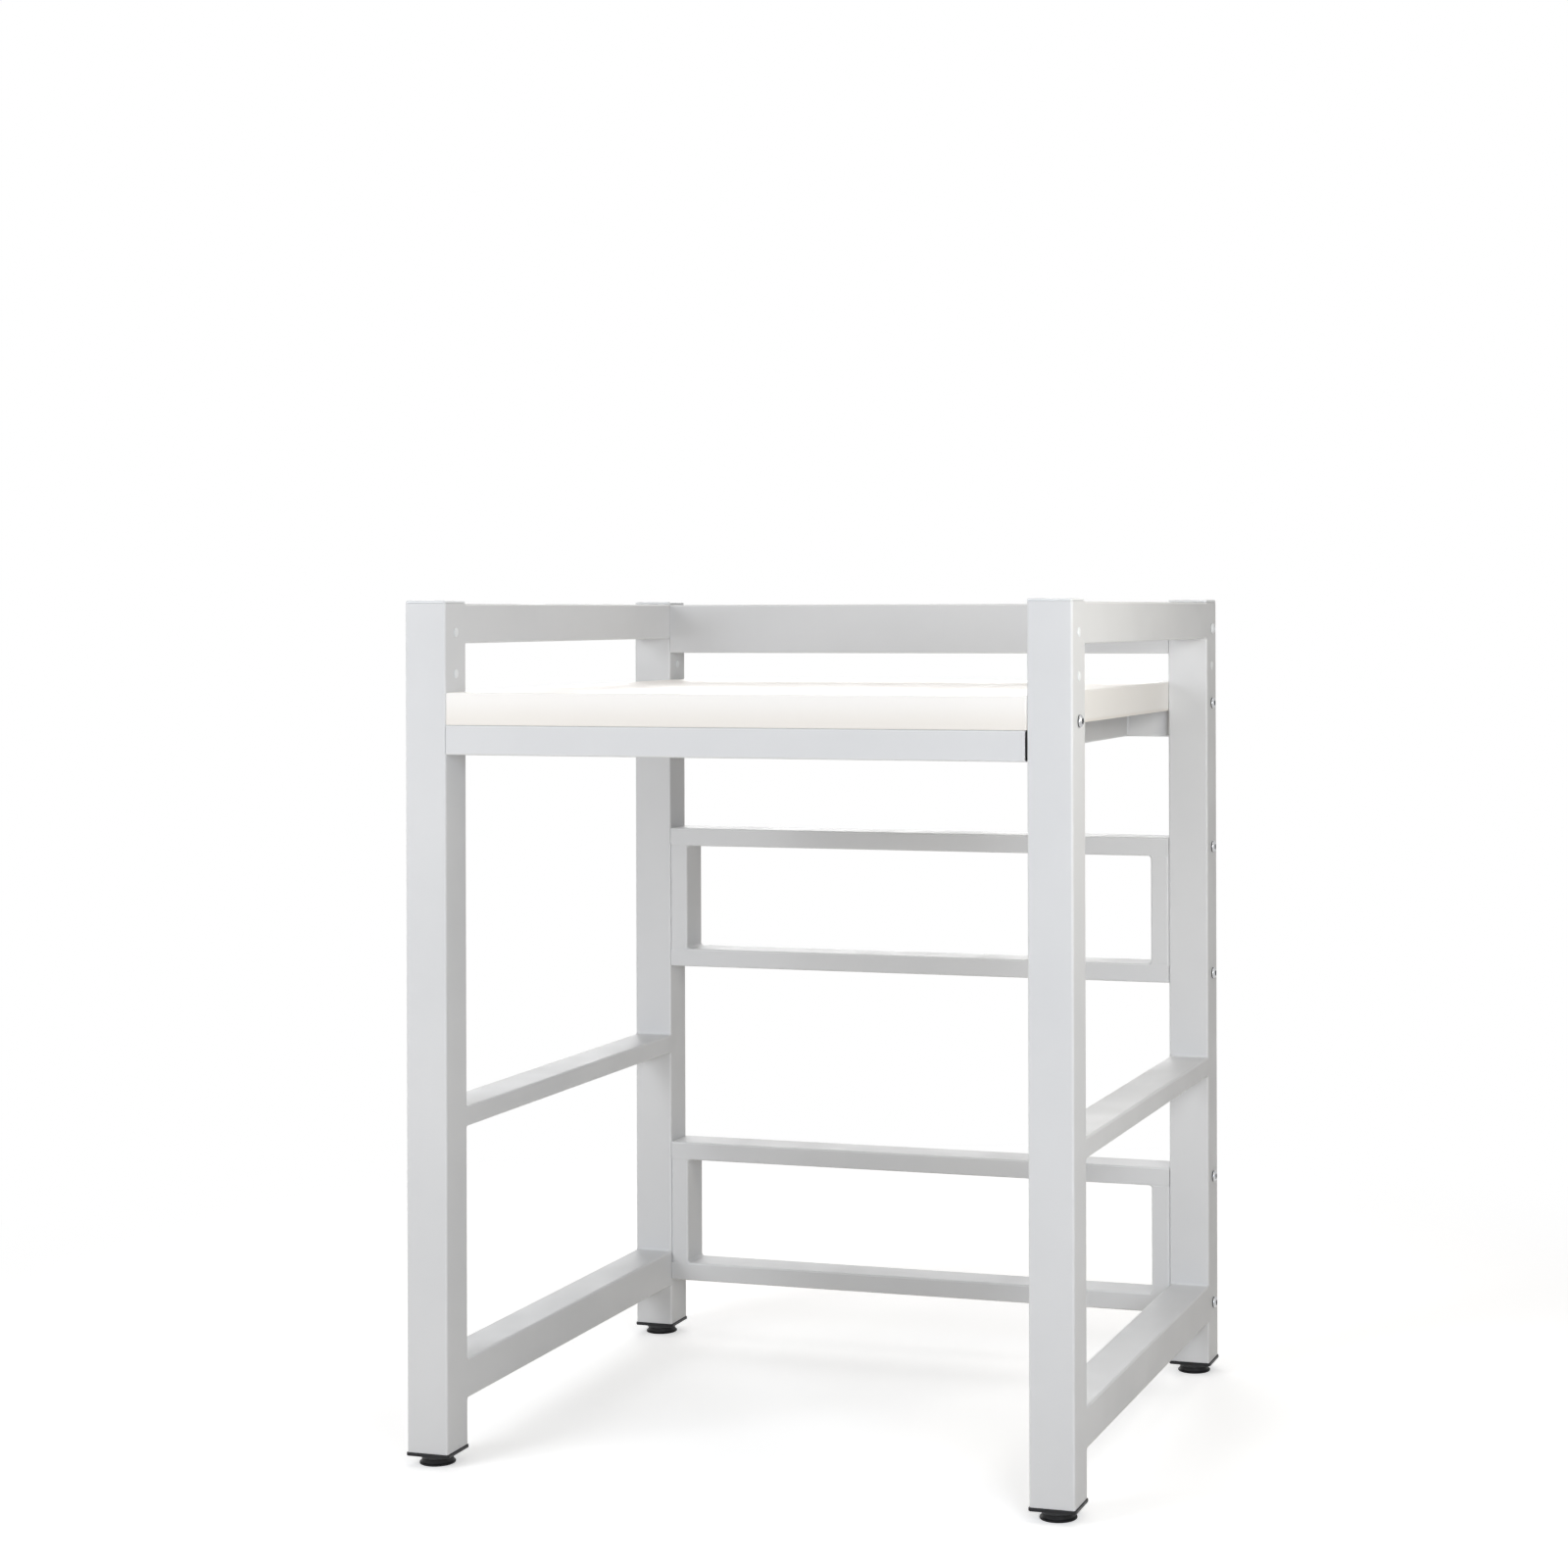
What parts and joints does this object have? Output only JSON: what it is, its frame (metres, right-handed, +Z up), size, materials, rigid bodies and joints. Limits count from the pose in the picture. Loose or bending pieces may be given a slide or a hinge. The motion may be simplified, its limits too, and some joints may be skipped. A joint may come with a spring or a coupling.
{
  "type": "washer dryer stacking stand",
  "caption": "Free-standing square-tube steel stand with a folded shelf between guard rails above a floor-level bay, rear tie frames and levelling feet.",
  "frame": {"origin": "on the floor under the middle of the stand", "axes": "+X to the right seen from the front, +Y to the back, +Z up"},
  "size_m": [0.845, 0.735, 1.045],
  "materials": {
    "powder_coat": "fine satin powder coat, cool white",
    "deck_coat": "satin powder coat, warm white",
    "white_plastic": "moulded, satin",
    "black_plastic": "moulded, satin",
    "foot_rubber": "matte",
    "stud_steel": "black satin",
    "zinc_plate": "bright zinc plate",
    "painted_bolt": "white paint on steel"
  },
  "bodies": {
    "stand": {"upright_front_left": "powder_coat", "upright_front_right": "powder_coat", "upright_rear_left": "powder_coat", "upright_rear_right": "powder_coat", "bottom_rail_left": "powder_coat", "middle_rail_left": "powder_coat", "guard_rail_left": "powder_coat", "bottom_rail_right": "powder_coat", "middle_rail_right": "powder_coat", "guard_rail_right": "powder_coat", "shelf_beam_front": "powder_coat", "shelf_beam_rear": "powder_coat", "support_rail_left": "powder_coat", "support_rail_right": "powder_coat", "shelf_deck": "deck_coat", "deck_rib_front": "powder_coat", "deck_rib_rear": "powder_coat", "top_crossbar": "powder_coat", "lower_frame_bottom_bar": "powder_coat", "lower_frame_top_bar": "powder_coat", "lower_frame_post_left": "powder_coat", "lower_frame_post_right": "powder_coat", "upper_frame_bottom_bar": "powder_coat", "upper_frame_top_bar": "powder_coat", "upper_frame_post_left": "powder_coat", "upper_frame_post_right": "powder_coat", "top_cap_front_left": "white_plastic", "top_cap_front_right": "white_plastic", "top_cap_rear_left": "white_plastic", "top_cap_rear_right": "white_plastic", "base_plug_front_left": "black_plastic", "base_plug_front_right": "black_plastic", "base_plug_rear_left": "black_plastic", "base_plug_rear_right": "black_plastic", "shelf_bolt_front_left": "zinc_plate", "shelf_bolt_front_right": "zinc_plate", "shelf_bolt_rear_left": "zinc_plate", "shelf_bolt_rear_right": "zinc_plate", "shelf_nut_front_left": "zinc_plate", "shelf_nut_front_right": "zinc_plate", "shelf_nut_rear_left": "zinc_plate", "shelf_nut_rear_right": "zinc_plate", "lower_frame_bottom_bolt_left": "zinc_plate", "lower_frame_bottom_bolt_right": "zinc_plate", "lower_frame_top_bolt_left": "zinc_plate", "lower_frame_top_bolt_right": "zinc_plate", "upper_frame_bottom_bolt_left": "zinc_plate", "upper_frame_bottom_bolt_right": "zinc_plate", "upper_frame_top_bolt_left": "zinc_plate", "upper_frame_top_bolt_right": "zinc_plate", "crossbar_bolt_left": "painted_bolt", "crossbar_bolt_right": "painted_bolt"},
    "pad_front_left": {"foot_pad_front_left": "foot_rubber"},
    "stud_front_left": {"foot_stud_front_left": "stud_steel"},
    "pad_front_right": {"foot_pad_front_right": "foot_rubber"},
    "stud_front_right": {"foot_stud_front_right": "stud_steel"},
    "pad_rear_left": {"foot_pad_rear_left": "foot_rubber"},
    "stud_rear_left": {"foot_stud_rear_left": "stud_steel"},
    "pad_rear_right": {"foot_pad_rear_right": "foot_rubber"},
    "stud_rear_right": {"foot_stud_rear_right": "stud_steel"}
  },
  "joints": [
    {"name": "foot_travel_front_left", "type": "slide", "parent": "stand", "child": "pad_front_left", "axis": [0, 0, -1], "range_m": [0, 0.012]},
    {"name": "foot_turn_front_left", "type": "hinge", "parent": "pad_front_left", "child": "stud_front_left", "pos_m": [-0.391, -0.339, 0.01], "axis": [0, 0, -1], "range_deg": [0, 2880]},
    {"name": "foot_travel_front_right", "type": "slide", "parent": "stand", "child": "pad_front_right", "axis": [0, 0, -1], "range_m": [0, 0.012]},
    {"name": "foot_turn_front_right", "type": "hinge", "parent": "pad_front_right", "child": "stud_front_right", "pos_m": [0.391, -0.339, 0.01], "axis": [0, 0, -1], "range_deg": [0, 2880]},
    {"name": "foot_travel_rear_left", "type": "slide", "parent": "stand", "child": "pad_rear_left", "axis": [0, 0, -1], "range_m": [0, 0.012]},
    {"name": "foot_turn_rear_left", "type": "hinge", "parent": "pad_rear_left", "child": "stud_rear_left", "pos_m": [-0.391, 0.339, 0.01], "axis": [0, 0, -1], "range_deg": [0, 2880]},
    {"name": "foot_travel_rear_right", "type": "slide", "parent": "stand", "child": "pad_rear_right", "axis": [0, 0, -1], "range_m": [0, 0.012]},
    {"name": "foot_turn_rear_right", "type": "hinge", "parent": "pad_rear_right", "child": "stud_rear_right", "pos_m": [0.391, 0.339, 0.01], "axis": [0, 0, -1], "range_deg": [0, 2880]}
  ],
  "couplings": [
    {"joint": "foot_turn_front_left", "follows": "foot_travel_front_left", "rad_per_m": 4188.7},
    {"joint": "foot_turn_front_right", "follows": "foot_travel_front_right", "rad_per_m": 4188.7},
    {"joint": "foot_turn_rear_left", "follows": "foot_travel_rear_left", "rad_per_m": 4188.7},
    {"joint": "foot_turn_rear_right", "follows": "foot_travel_rear_right", "rad_per_m": 4188.7}
  ]
}
